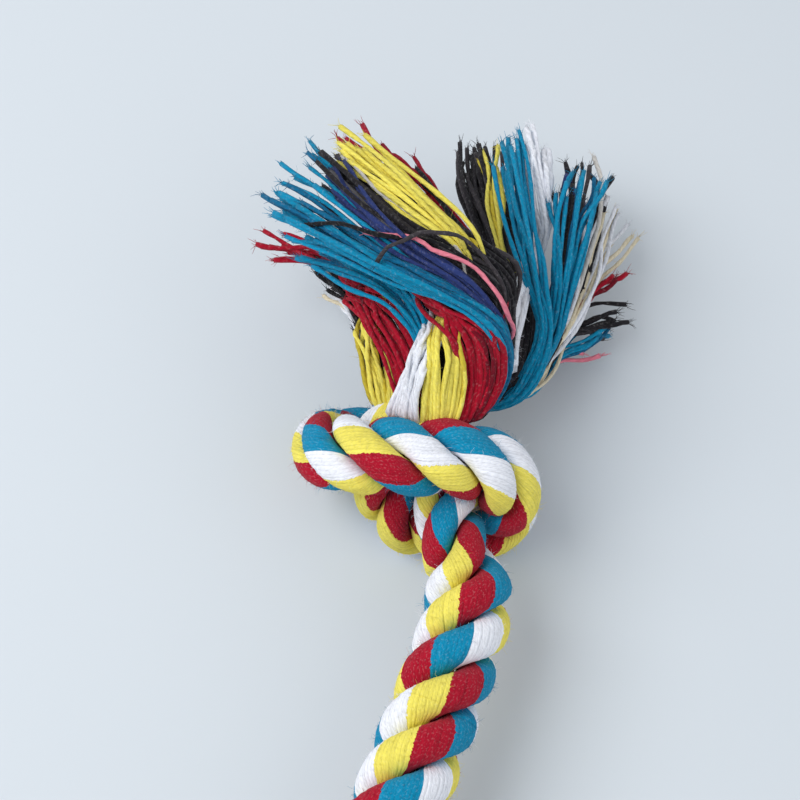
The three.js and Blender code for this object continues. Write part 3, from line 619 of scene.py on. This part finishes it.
class Skin:
    """A mesh of closed tubes, with the turn round each and the length along it as UV."""

    def __init__(self):
        self.count = 0
        self.places, self.faces, self.smooth, self.uvs, self.tones = [], [], [], [], []

    def add(self, rings, turns, lengths, tones):
        """Cover each row of rings; turns has one column more than a ring has places."""
        tubes, stations, columns, _ = rings.shape
        index = self.count + np.arange(tubes * stations * columns).reshape(tubes, stations, columns)
        near, far = index[:, :-1], index[:, 1:]
        left = np.broadcast_to(turns[:, None, :-1], near.shape)
        right = np.broadcast_to(turns[:, None, 1:], near.shape)
        low = np.broadcast_to(lengths[:, :-1, None], near.shape)
        high = np.broadcast_to(lengths[:, 1:, None], near.shape)
        quads = [near, np.roll(near, -1, 2), np.roll(far, -1, 2), far]
        self.add_faces(quads, [left, low, right, low, right, high, left, high], True)

        start, end = index[:, 0], index[:, -1]
        hub = self.count + index.size + np.broadcast_to(np.arange(tubes)[:, None], start.shape)
        left, right, low, high = left[:, 0], right[:, 0], low[:, 0], high[:, -1]
        self.add_faces([hub, np.roll(start, -1, 1), start], [left, low, right, low, left, low], False)
        self.add_faces([hub + tubes, end, np.roll(end, -1, 1)], [left, high, left, high, right, high], False)

        self.places += [rings.reshape(-1, 3), rings[:, 0].mean(axis=1), rings[:, -1].mean(axis=1)]
        self.tones += [np.repeat(tones, stations * columns), tones, tones]
        self.count += index.size + 2 * tubes

    def add_faces(self, corners, uvs, smooth):
        faces = np.stack(corners, axis=-1).reshape(-1, len(corners))
        self.faces += faces.tolist()
        self.smooth.append(np.full(len(faces), smooth))
        self.uvs.append(np.stack(uvs, axis=-1).reshape(-1, 2))

    def add_lint(self, random, roots, outward, longest, spread, radius, turns, lengths, tones):
        """Short loose fibres that stand off the skin at their roots and take the dye there."""
        reach = longest * random.uniform(LINT_SHORTEST, 1, (len(roots), 1)) ** 2
        first = unit(outward + spread * random.normal(size=roots.shape))
        rise = np.sum(first * outward, axis=1, keepdims=True)
        first = unit(first + outward * np.maximum(LINT_RISE - rise, 0))
        second = unit(first + 0.5 * spread * random.normal(size=roots.shape))
        paths = np.stack([roots, roots + 0.5 * reach * first, roots + 0.5 * reach * (first + second)], axis=1)
        paths[..., 2] = np.maximum(paths[..., 2], radius)
        radii = np.tile(radius * np.array(LINT_TAPER), (len(roots), 1))
        columns = turns[:, None] + np.arange(LINT_SIDES + 1) * LINT_TURN
        rows = lengths[:, None] + travelled(paths) / MM
        self.add(round_rings(paths, radii, LINT_SIDES), columns, rows, tones)

    def finish(self, name, material):
        mesh = bpy.data.meshes.new(name)
        mesh.from_pydata(np.vstack(self.places), [], self.faces)
        layer = mesh.uv_layers.new(name="yarn")
        layer.data.foreach_set("uv", np.vstack(self.uvs).ravel())
        tone = mesh.attributes.new("tone", "FLOAT", "POINT")
        tone.data.foreach_set("value", np.concatenate(self.tones))
        mesh.polygons.foreach_set("use_smooth", np.concatenate(self.smooth))
        mesh.materials.append(material)
        mesh.validate()
        piece = bpy.data.objects.new(name, mesh)
        bpy.context.collection.objects.link(piece)
        return piece


class Signal:
    """A node's output socket, on which arithmetic adds Math nodes."""

    def __init__(self, tree, socket):
        self.tree = tree
        self.socket = socket

    def math(self, operation, first, second=0.0):
        node = self.tree.node("ShaderNodeMath", {"operation": operation}, {0: first, 1: second})
        return node.signal("Value")

    def __add__(self, other):
        return self.math("ADD", self, other)

    def __radd__(self, other):
        return self.math("ADD", other, self)

    def __sub__(self, other):
        return self.math("SUBTRACT", self, other)

    def __rsub__(self, other):
        return self.math("SUBTRACT", other, self)

    def __mul__(self, other):
        return self.math("MULTIPLY", self, other)

    def __rmul__(self, other):
        return self.math("MULTIPLY", other, self)

    def __pow__(self, other):
        return self.math("POWER", self, other)

    def __abs__(self):
        return self.math("ABSOLUTE", self)

    def floor(self):
        return self.math("FLOOR", self)

    def fraction(self):
        return self.math("FRACT", self)

    def sine(self):
        return self.math("SINE", self)


class PlacedNode:
    """A node in a tree, whose outputs are signals."""

    def __init__(self, tree, node):
        self.tree = tree
        self.node = node

    def signal(self, name):
        return Signal(self.tree, self.node.outputs[name])


class Finish:
    """A material's node tree."""

    def __init__(self, name):
        self.material = bpy.data.materials.new(name)
        self.material.use_nodes = True
        self.tree = self.material.node_tree
        self.surface = self.tree.nodes["Principled BSDF"]

    def node(self, kind, settings=None, inputs=None):
        node = self.tree.nodes.new(kind)
        for key, value in (settings or {}).items():
            if key == "stops":
                self.set_stops(node.color_ramp, value)
            else:
                setattr(node, key, value)
        for key, value in (inputs or {}).items():
            self.feed(node.inputs[key], value)
        return PlacedNode(self, node)

    def feed(self, socket, value):
        if isinstance(value, Signal):
            self.tree.links.new(value.socket, socket)
        else:
            socket.default_value = value

    @staticmethod
    def set_stops(ramp, stops):
        ramp.interpolation = "CONSTANT"
        while len(ramp.elements) < len(stops):
            ramp.elements.new(1.0)
        for element, (position, colour) in zip(ramp.elements, stops):
            element.position = position
            element.color = (*colour, 1.0)

    def shaded(self, colour, value):
        """A colour made lighter or darker by a value."""
        node = self.node("ShaderNodeVectorMath", {"operation": "SCALE"}, {0: colour, "Scale": value})
        return node.signal("Vector")

    def mixed(self, factor, first, second):
        inputs = {"Factor": factor, MIX_FIRST: first, MIX_SECOND: second}
        return self.node("ShaderNodeMix", {"data_type": "RGBA"}, inputs).signal(MIX_RESULT)

    def noise(self, across, along, detail=2.0, depth=0.0):
        """Soft noise; a value of depth of its own keeps it apart from the others."""
        vector = self.node("ShaderNodeCombineXYZ", {}, {"X": across, "Y": along, "Z": depth}).signal("Vector")
        node = self.node("ShaderNodeTexNoise", {}, {"Vector": vector, "Scale": 1.0, "Detail": detail})
        return node.signal("Fac")

    def yarn_map(self):
        """The turn round a piece, from 0 to 1, and the length along it in millimetres."""
        uv = self.node("ShaderNodeUVMap", {"uv_map": "yarn"}).signal("UV")
        parts = self.node("ShaderNodeSeparateXYZ", {}, {"Vector": uv})
        return parts.signal("X"), parts.signal("Y")

    def tone(self):
        return self.node("ShaderNodeAttribute", {"attribute_name": "tone"}).signal("Fac")

    def flecked(self, dye, value, flecks, start, lighter, share):
        """A dye shaded by a value, and paler where the flecks' noise is high."""
        pale = self.node(
            "ShaderNodeMapRange",
            {"interpolation_type": "SMOOTHSTEP"},
            {"Value": flecks, "From Min": start, "From Max": FLECK_FULL},
        ).signal("Result")
        lit = self.mixed(PALENESS, self.shaded(dye, lighter), PALE_FIBRE)
        return self.mixed(pale * share, self.shaded(dye, value), lit)

    def cotton(self, colour, height, fibres, relief):
        """The material, matt and rougher where its fibres stand up."""
        bump = {"Strength": BUMP_STRENGTH, "Distance": relief, "Height": height}
        sockets = {
            "Base Color": colour,
            "Roughness": 0.8 + fibres * 0.2,
            "Normal": self.node("ShaderNodeBump", {}, bump).signal("Normal"),
            **COTTON,
        }
        for name, value in sockets.items():
            self.feed(self.surface.inputs[name], value)
        return self.material


def laid_cotton(sizes):
    """Four dyed sectors of yarn round a strand, with painted shade in the yarns' seams, and their fibres and
    pale flecks.

    Its noises are scaled by the yarns round the strand and by the millimetres along it.
    """
    finish = Finish("laid_cotton")
    turn, length = finish.yarn_map()
    dyes = (sizes.white, sizes.yellow, sizes.red, sizes.teal)
    stops = [(number / DYES, colour) for number, colour in enumerate(dyes)]
    yarn = turn * sizes.yarns
    fuzz = finish.noise(yarn * 0.9 + length * 0.5, length * 1.7, depth=5.0) - 0.5
    dye = finish.node("ShaderNodeValToRGB", {"stops": stops}, {"Fac": turn + fuzz * 0.035}).signal("Color")
    number = yarn.floor()
    seam = abs(yarn.fraction() - 0.5) * 2
    tone = finish.node(
        "ShaderNodeTexWhiteNoise", {"noise_dimensions": "1D"}, {"W": number + finish.tone() * 97}
    ).signal("Value")
    fibres = finish.noise(yarn * 2.4 + length * 0.9, length * 1.1, detail=3.0)
    patches = finish.noise(yarn * 0.3, length * 0.12)
    slack = finish.noise(number * 0.7, length * 0.16, depth=3.0)
    # seam**6 * slack darkens each yarn's edges: painted shade in the grooves between yarns, deeper where the
    # slack noise is high.
    value = 0.6 + tone * 0.1 + fibres * 0.62 + patches * 0.16 - seam**6 * slack * 0.38
    flecks = finish.noise(yarn * 2.5 - length * 1.1, length * 1.9, detail=3.0, depth=7.0)
    colour = finish.flecked(dye, value, flecks, start=0.5, lighter=1.25, share=0.34)
    height = fibres + finish.noise(yarn * 6.0, length * 5.0, detail=2.0) * 0.5
    return finish.cotton(colour, height, fibres, relief=0.35 * MM)


def loose_cotton(name, stops):
    """Loose two-ply yarn: its dye, its plies' twist as bumps and as painted shade in the grooves between
    plies, fibres and a tone of its own.

    Its noises are scaled by turns round the yarn and millimetres along it, and shifted by its tone.
    """
    finish = Finish(name)
    turn, length = finish.yarn_map()
    tone = finish.tone()
    dye = finish.node("ShaderNodeValToRGB", {"stops": stops}, {"Fac": tone}).signal("Color")
    ply_bump_and_shade = (TAU * (turn * 2 + length * 0.4)).sine()
    fibres = finish.noise(turn * 5.0 + length * 0.8, length * 1.0 + tone * 57, detail=3.0)
    patches = finish.noise(tone * 31, length * 0.15)
    shade = (tone * 61).fraction()
    # The ply wave darkens the grooves between plies and lightens their crests: painted shade.
    value = 0.5 + shade * 0.24 + fibres * 0.5 + patches * 0.16 + ply_bump_and_shade * 0.05
    flecks = finish.noise(turn * 4.0 - length * 0.7, length * 1.2 + tone * 83, detail=3.0, depth=7.0)
    colour = finish.flecked(dye, value, flecks, start=0.52, lighter=1.3, share=0.3)
    height = ply_bump_and_shade * 0.3 + fibres
    return finish.cotton(colour, height, fibres, relief=0.25 * MM)


def hank_finishes(sizes):
    core = [
        (0.0, linear(36, 34, 38)),
        (0.36, linear(62, 58, 62)),
        (0.52, linear(96, 94, 98)),
        (0.6, linear(44, 58, 112)),
        (0.74, linear(24, 24, 28)),
        (0.86, linear(206, 202, 196)),
        (0.91, linear(228, 128, 146)),
        (0.94, linear(150, 22, 44)),
        (0.97, linear(120, 112, 60)),
    ]
    white = [(0.0, sizes.white), (0.86, linear(226, 214, 186))]
    return {
        "white": loose_cotton("white_cotton", white),
        "yellow": loose_cotton("yellow_cotton", [(0.0, sizes.yellow), (0.9, linear(206, 186, 60))]),
        "red": loose_cotton("red_cotton", [(0.0, sizes.red), (0.92, linear(120, 14, 34))]),
        "teal": loose_cotton("teal_cotton", [(0.0, sizes.teal), (0.85, linear(10, 100, 140))]),
        "core": loose_cotton("core_cotton", core),
    }


def yarn_turns(sizes, strand):
    """Turns round a strand at which each column of its skin lies, with yarns of uneven width."""
    random = np.random.default_rng(WIDTH_SEED + strand)
    widths = random.uniform(*UNEVEN, (DYES, sizes.yarns // DYES))
    widths /= DYES * widths.sum(axis=1, keepdims=True)
    ends = np.concatenate([[0], np.cumsum(widths)])
    columns = sizes.yarns * COLUMNS_PER_YARN
    return np.interp(np.arange(columns) / COLUMNS_PER_YARN, np.arange(sizes.yarns + 1), ends)


def strand_relief(sizes, stations, strand):
    """How far each column of a strand's skin lies under its crown: seams, slack and loose yarns."""
    random = np.random.default_rng(RELIEF_SEED + strand)
    share = np.arange(COLUMNS_PER_YARN) / COLUMNS_PER_YARN
    crown = np.tile(np.sin(math.pi * share) ** CROWN_SHAPE, sizes.yarns)
    slack = np.zeros((len(stations), sizes.yarns))
    for pace in SLACK_PACES:
        phase = random.uniform(0, TAU, sizes.yarns)
        paces = pace * random.uniform(*UNEVEN, sizes.yarns)
        slack += np.sin(stations[:, None] / SLACK_WAVE * paces + phase)
    lift = random.normal(0, YARN_LIFT, sizes.yarns) + SLACK_LIFT * slack
    seam = SEAM_DEPTH + SLACK_SEAM * np.roll(slack, 1, axis=1)
    lift = np.repeat(lift, COLUMNS_PER_YARN, axis=1)
    seam = np.repeat(seam, COLUMNS_PER_YARN, axis=1)
    return sizes.yarn_relief * ((1 - crown) * seam - lift)


class ROPETOY_OT_strands(Operator):
    """Lay the three strands from tip to tip, each in a piece for either knot and one for the middle"""

    bl_idname = "ropetoy.strands"
    bl_label = "Lay strands"

    def execute(self, context):
        sizes = context.scene.ropetoy_rope
        rope = Rope(sizes)
        finish = laid_cotton(sizes)
        for strand in range(STRANDS):
            for place, start, end in (
                ("knot_b", -rope.length, -PIECE_END),
                ("middle", -PIECE_END - PIECE_LAP, PIECE_END + PIECE_LAP),
                ("knot_a", PIECE_END, rope.length),
            ):
                self.lay_piece(rope, finish, strand, place, start, end)
        return {"FINISHED"}

    def lay_piece(self, rope, finish, strand, place, start, end):
        sizes = rope.sizes
        stations = np.linspace(start, end, round((end - start) / RING_STEP) + 1)
        turns = yarn_turns(sizes, strand) + COLOUR_STARTS[strand]
        inset = strand_relief(sizes, stations, strand)
        to_end = rope.length - np.abs(stations)
        inset = inset + END_TUCK * (1 - smoothstep(to_end, 0, END_TUCK_REACH))[:, None]
        if place == "middle":
            lapped = smoothstep(np.abs(stations), PIECE_END - RING_STEP, PIECE_END)
            inset = inset + LAP_DEPTH * lapped[:, None]
        rings = rope.whole_skin(strand, stations, turns, inset)
        name = f"strand_{strand + 1}_{place}"
        path = rope.whole_strand_middle(strand, stations)
        skin = Skin()
        columns = np.arange(len(turns) + 1) / len(turns)
        skin.add(rings[None], columns[None], stations[None] / MM, np.array([strand / STRANDS]))
        self.add_lint(rope, skin, strand, stations, rings, path)
        piece = skin.finish(name, finish)
        far = -strand % STRANDS
        if place == "middle":
            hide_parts(f"rope_a_strand_{strand + 1}", f"rope_b_strand_{far + 1}")
            self.bend(rope, piece, "rope_b", "rope_a", -MIDDLE_BEND_REACH, MIDDLE_BEND_REACH)
        elif place == "knot_a":
            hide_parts(f"knot_a_strand_{strand + 1}")
            self.bend_at_knot(rope, piece, "rope_a", "knot_a", 1)
        else:
            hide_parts(f"knot_b_strand_{far + 1}")
            self.bend_at_knot(rope, piece, "rope_b", "knot_b", -1)

    @staticmethod
    def add_lint(rope, skin, strand, stations, rings, path):
        """Loose fibres over the outer side of a strand."""
        sizes = rope.sizes
        random = np.random.default_rng([LINT_SEED, strand, len(stations)])
        wanted = round(sizes.lint * np.ptp(stations) / MM)
        row = random.integers(1, len(stations) - 1, LINT_TRIES * wanted)
        column = random.integers(0, rings.shape[1], LINT_TRIES * wanted)
        around = np.roll(rings, -1, 1)[row, column] - np.roll(rings, 1, 1)[row, column]
        outward = unit(np.cross(around, rings[row + 1, column] - rings[row - 1, column]))
        roots = rings[row, column]
        outward *= np.sign(np.sum(outward * (roots - path[row]), axis=1, keepdims=True))
        open_to = np.sum(outward * unit(roots - rope.whole_middle(stations)[row]), axis=1)
        keep = np.flatnonzero(open_to > LINT_OPEN)[:wanted]
        skin.add_lint(
            random,
            roots[keep],
            outward[keep],
            sizes.lint_length,
            LINT_SPREAD,
            LINT_RADIUS,
            column[keep] / rings.shape[1],
            stations[row[keep]] / MM,
            np.full(len(keep), strand / STRANDS),
        )

    @staticmethod
    def bend(rope, piece, first, second, start, end):
        ends = [half_turned(rope.at(-start, rope.middle)), rope.at(end, rope.middle)]
        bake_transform(piece)

    @staticmethod
    def bend_at_knot(rope, piece, stretch, knot, hand):
        joint = next(j for j in frame["joints"] if j["name"] == f"bend_at_{knot}")
        third = len(rope.stations) // 3
        station = np.interp(abs(joint["pos_m"][1]), rope.middle[:third, 1], rope.stations[:third])
        ends = rope.at(np.array([station - KNOT_BEND_REACH, station + KNOT_BEND_REACH]), rope.middle)
        if hand < 0:
            ends = half_turned(ends)
        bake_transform(piece)


class ROPETOY_OT_tufts(Operator):
    """Fray both ends: three tufts of loose yarn each, in hanks of one dye and a mixed core"""

    bl_idname = "ropetoy.tufts"
    bl_label = "Fray tufts"

    def execute(self, context):
        sizes = context.scene.ropetoy_tufts
        rope = Rope(context.scene.ropetoy_rope)
        finishes = hank_finishes(rope.sizes)
        for number, (tuft, locks) in enumerate(LOCKS.items()):
            for hank in HANKS:
                for letter in "ab":
                    random = np.random.default_rng([sizes.seed, number, HANKS.index(hank), ord(letter)])
                    own = [lock[1:] for lock in locks if lock[0] == hank]
                    self.hang_hank(rope, sizes, finishes[hank], random, own, f"tuft_{letter}_{tuft}", hank)
        return {"FINISHED"}

    def hang_hank(self, rope, sizes, finish, random, locks, tuft, hank):
        paths, shades, bulks = [], [], []
        for count, thickness, uneven, (low, high), bulk, *edges in locks:
            strand = TUFT_STRANDS[tuft.rsplit("_", 1)[1]]
            paths += self.yarn_paths(rope, sizes, random, strand, count, thickness, uneven, edges)
            shades += list(random.uniform(low, high, count))
            bulks += [bulk * share for share in random.uniform(*YARN_BULKS, count)]
        paths = np.array(paths)
        if tuft.startswith("tuft_b"):
            paths = half_turned(paths)
        shades = np.array(shades)
        rings = round_rings(paths, self.yarn_radii(random, sizes, np.array(bulks)), YARN_SIDES)
        lengths = travelled(paths) / MM
        skin = Skin()
        skin.add(rings, np.tile(np.arange(YARN_SIDES + 1) / YARN_SIDES, (len(paths), 1)), lengths, shades)
        yarn = np.repeat(np.arange(len(paths)), np.round(sizes.lint * np.array(bulks) ** 3).astype(int))
        ring = random.integers(YARN_RINGS // 4, YARN_RINGS - 1, len(yarn))
        side = random.integers(0, YARN_SIDES, len(yarn))
        roots = rings[yarn, ring, side]
        outward = unit(roots - paths[yarn, ring])
        lint = (rope.sizes.lint_length, LINT_SPREAD, LINT_RADIUS)
        skin.add_lint(random, roots, outward, *lint, side / YARN_SIDES, lengths[yarn, ring], shades[yarn])
        yarn = np.repeat(np.arange(len(paths)), FRAY_FIBRES)
        leave = unit(paths[yarn, -1] - paths[yarn, -2])
        side = random.integers(0, YARN_SIDES, len(yarn))
        roots = rings[yarn, -1, side] * FRAY_ROOT + paths[yarn, -1] * (1 - FRAY_ROOT) - FRAY_RADIUS * leave
        fray = (FRAY_LENGTH, FRAY_SPREAD, FRAY_RADIUS)
        skin.add_lint(random, roots, leave, *fray, side / YARN_SIDES, lengths[yarn, -1], shades[yarn])
        piece = skin.finish(f"{tuft}_{hank}_yarn", finish)
        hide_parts(f"{tuft}_{hank}")
        self.bend(rope, piece, tuft)

    def yarn_paths(self, rope, sizes, random, strand, count, thickness, uneven, edges):
        """The middle lines of a lock's yarns, from inside the strand to their tips."""
        size = rope.sizes.diameter
        first, second = (rope.neck_end() + size * np.array(edge) for edge in (edges[0], edges[-1]))
        roots = rope.strand_middle(strand, rope.length - np.array(ROOT_STATIONS))
        side = second[0] - first[0]
        side *= ROOT_WIDTH * size / max(np.linalg.norm(side), ROOT_WIDTH * size)
        first, second = (
            spline(np.vstack([roots + way * side, edge]), per_span=12)
            for way, edge in ((-0.5, first), (0.5, second))
        )
        share = np.linspace(0, 1, len(first))[:, None]
        along = unit(np.gradient(first + second, axis=0))
        outward = np.cross(along, second - first + 1e-9)
        outward /= np.maximum(np.linalg.norm(outward, axis=1, keepdims=True), 1e-6)
        across = (np.arange(count) + 0.5 + random.uniform(-YARN_JITTER, YARN_JITTER, count)) / count
        clumps = np.ceil(across * count / CLUMP) * CLUMP / count - 0.5 * CLUMP / count
        paths = []
        for yarn in range(count):
            place = across[yarn] + CLUMP_PULL * (clumps[yarn] - across[yarn]) * share**3
            path = first + (second - first) * place
            path = path + outward * random.uniform(-0.5, 0.5) * thickness * size
            path = path + self.stray(random, len(path)) * sizes.waviness * share**2
            path[:, 2] = np.maximum(path[:, 2], sizes.yarn_diameter / 2)
            reach = travelled(path)[-1] * (1 - uneven * random.uniform(0, 1) ** SHORT_POWER)
            paths.append(resampled(path, np.linspace(0, reach, YARN_RINGS)))
        return paths

    @staticmethod
    def stray(random, count):
        """A smooth wander, with long waves larger than short ones."""
        way = np.linspace(0, 1, count)[:, None]
        waves = [
            np.sin(TAU * (pace * way + random.uniform(0, 1, 3))) * random.normal(0, STRAY_SIZE / pace, 3)
            for pace in STRAY_PACES
        ]
        return sum(waves)

    @staticmethod
    def yarn_radii(random, sizes, bulks):
        """Radii along each yarn, uneven in their spinning and flared at the cut tip."""
        way = np.linspace(0, 1, YARN_RINGS)
        lumps = np.zeros((len(bulks), YARN_RINGS))
        for pace in LUMP_PACES:
            lumps += np.sin(TAU * (pace * way + random.uniform(0, 1, (len(bulks), 1))))
        profile = 1 + (LUMP_SIZE + BULKY_LUMP_SIZE * bulks[:, None]) * lumps
        profile[:, -len(TIP_FLARE) :] *= TIP_FLARE
        return sizes.yarn_diameter / 2 * bulks[:, None] * profile

    @staticmethod
    def bend(rope, piece, tuft):
        """Work out where the yarn would turn from the knot to the tuft, a short way past the strand's end,
        and bake the piece's transform.
        """
        _, letter, side = tuft.split("_")
        root = rope.strand_middle(TUFT_STRANDS[side], np.array([rope.length]))[0]
        outer = np.mean([lock[-1][1] for lock in LOCKS[side]], axis=0)
        along = unit(rope.neck_end() + rope.sizes.diameter * outer - root)
        ends = np.array([root - TUFT_BEND_BACK * along, root + TUFT_BEND_REACH * along])
        if letter == "b":
            ends = half_turned(ends)
        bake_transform(piece)


class ROPETOY_OT_stage(Operator):
    """Set the floor, the soft lamps and the camera"""

    bl_idname = "ropetoy.stage"
    bl_label = "Set stage"

    def execute(self, context):
        sizes = context.scene.ropetoy_stage
        self.lay_floor(sizes)
        self.hang_lamps(context)
        self.place_camera(context, sizes)
        context.scene.view_settings.view_transform = "Standard"
        return {"FINISHED"}

    def lay_floor(self, sizes):
        bpy.ops.object.select_all(action="DESELECT")
        bpy.ops.mesh.primitive_plane_add(size=FLOOR_SIZE)
        floor = bpy.context.object
        floor.name = "floor"
        finish = Finish("floor_paper")
        finish.surface.inputs["Base Color"].default_value = (*sizes.floor, 1.0)
        finish.surface.inputs["Roughness"].default_value = FLOOR_ROUGHNESS
        floor.data.materials.append(finish.material)

    def hang_lamps(self, context):
        world = bpy.data.worlds.new("studio")
        world.use_nodes = True
        background = world.node_tree.nodes["Background"]
        background.inputs["Color"].default_value = SKY
        background.inputs["Strength"].default_value = SKY_STRENGTH
        context.scene.world = world
        for name, (place, size, watts) in LAMPS.items():
            lamp = bpy.data.lights.new(name, "AREA")
            lamp.size = size
            lamp.energy = watts
            holder = bpy.data.objects.new(name, lamp)
            holder.location = place
            aim = np.subtract(LAMP_AIM, place)
            holder.rotation_euler = (
                math.atan2(math.hypot(aim[0], aim[1]), -aim[2]),
                0,
                math.atan2(-aim[0], aim[1]),
            )
            context.collection.objects.link(holder)

    def place_camera(self, context, sizes):
        camera = bpy.data.cameras.new("camera")
        camera.lens = sizes.lens
        camera.clip_start = NEAREST_SEEN
        holder = bpy.data.objects.new("camera", camera)
        flat = math.cos(sizes.elevation)
        away = np.array(
            (math.sin(sizes.azimuth) * flat, -math.cos(sizes.azimuth) * flat, math.sin(sizes.elevation))
        )
        holder.location = np.array(sizes.aim) + sizes.distance * away
        holder.rotation_euler = (math.pi / 2 - sizes.elevation, 0, sizes.azimuth)
        context.collection.objects.link(holder)
        context.scene.camera = holder


class ROPETOY_PT_panel(Panel):
    """The toy's sizes and the steps that make it"""

    bl_idname = "ROPETOY_PT_panel"
    bl_label = "Rope toy"
    bl_space_type = "VIEW_3D"
    bl_region_type = "UI"
    bl_category = "Rope toy"

    def draw(self, context):
        for name, step in zip(SETTINGS, STEPS):
            box = self.layout.box()
            for key in SETTINGS[name].__annotations__:
                box.prop(getattr(context.scene, name), key)
            box.operator(step.bl_idname)


SETTINGS = {
    "ropetoy_rope": RopeSettings,
    "ropetoy_tufts": TuftSettings,
    "ropetoy_stage": StageSettings,
}
STEPS = (ROPETOY_OT_strands, ROPETOY_OT_tufts, ROPETOY_OT_stage)
CLASSES = (*SETTINGS.values(), *STEPS, ROPETOY_PT_panel)


def register():
    for cls in CLASSES:
        bpy.utils.register_class(cls)
    for name, group in SETTINGS.items():
        setattr(bpy.types.Scene, name, PointerProperty(type=group))


def unregister():
    for name in SETTINGS:
        delattr(bpy.types.Scene, name)
    for cls in reversed(CLASSES):
        bpy.utils.unregister_class(cls)


def main():
    register()
    bpy.ops.ropetoy.strands()
    bpy.ops.ropetoy.tufts()
    bpy.ops.ropetoy.stage()


if __name__ == "__main__":
    main()
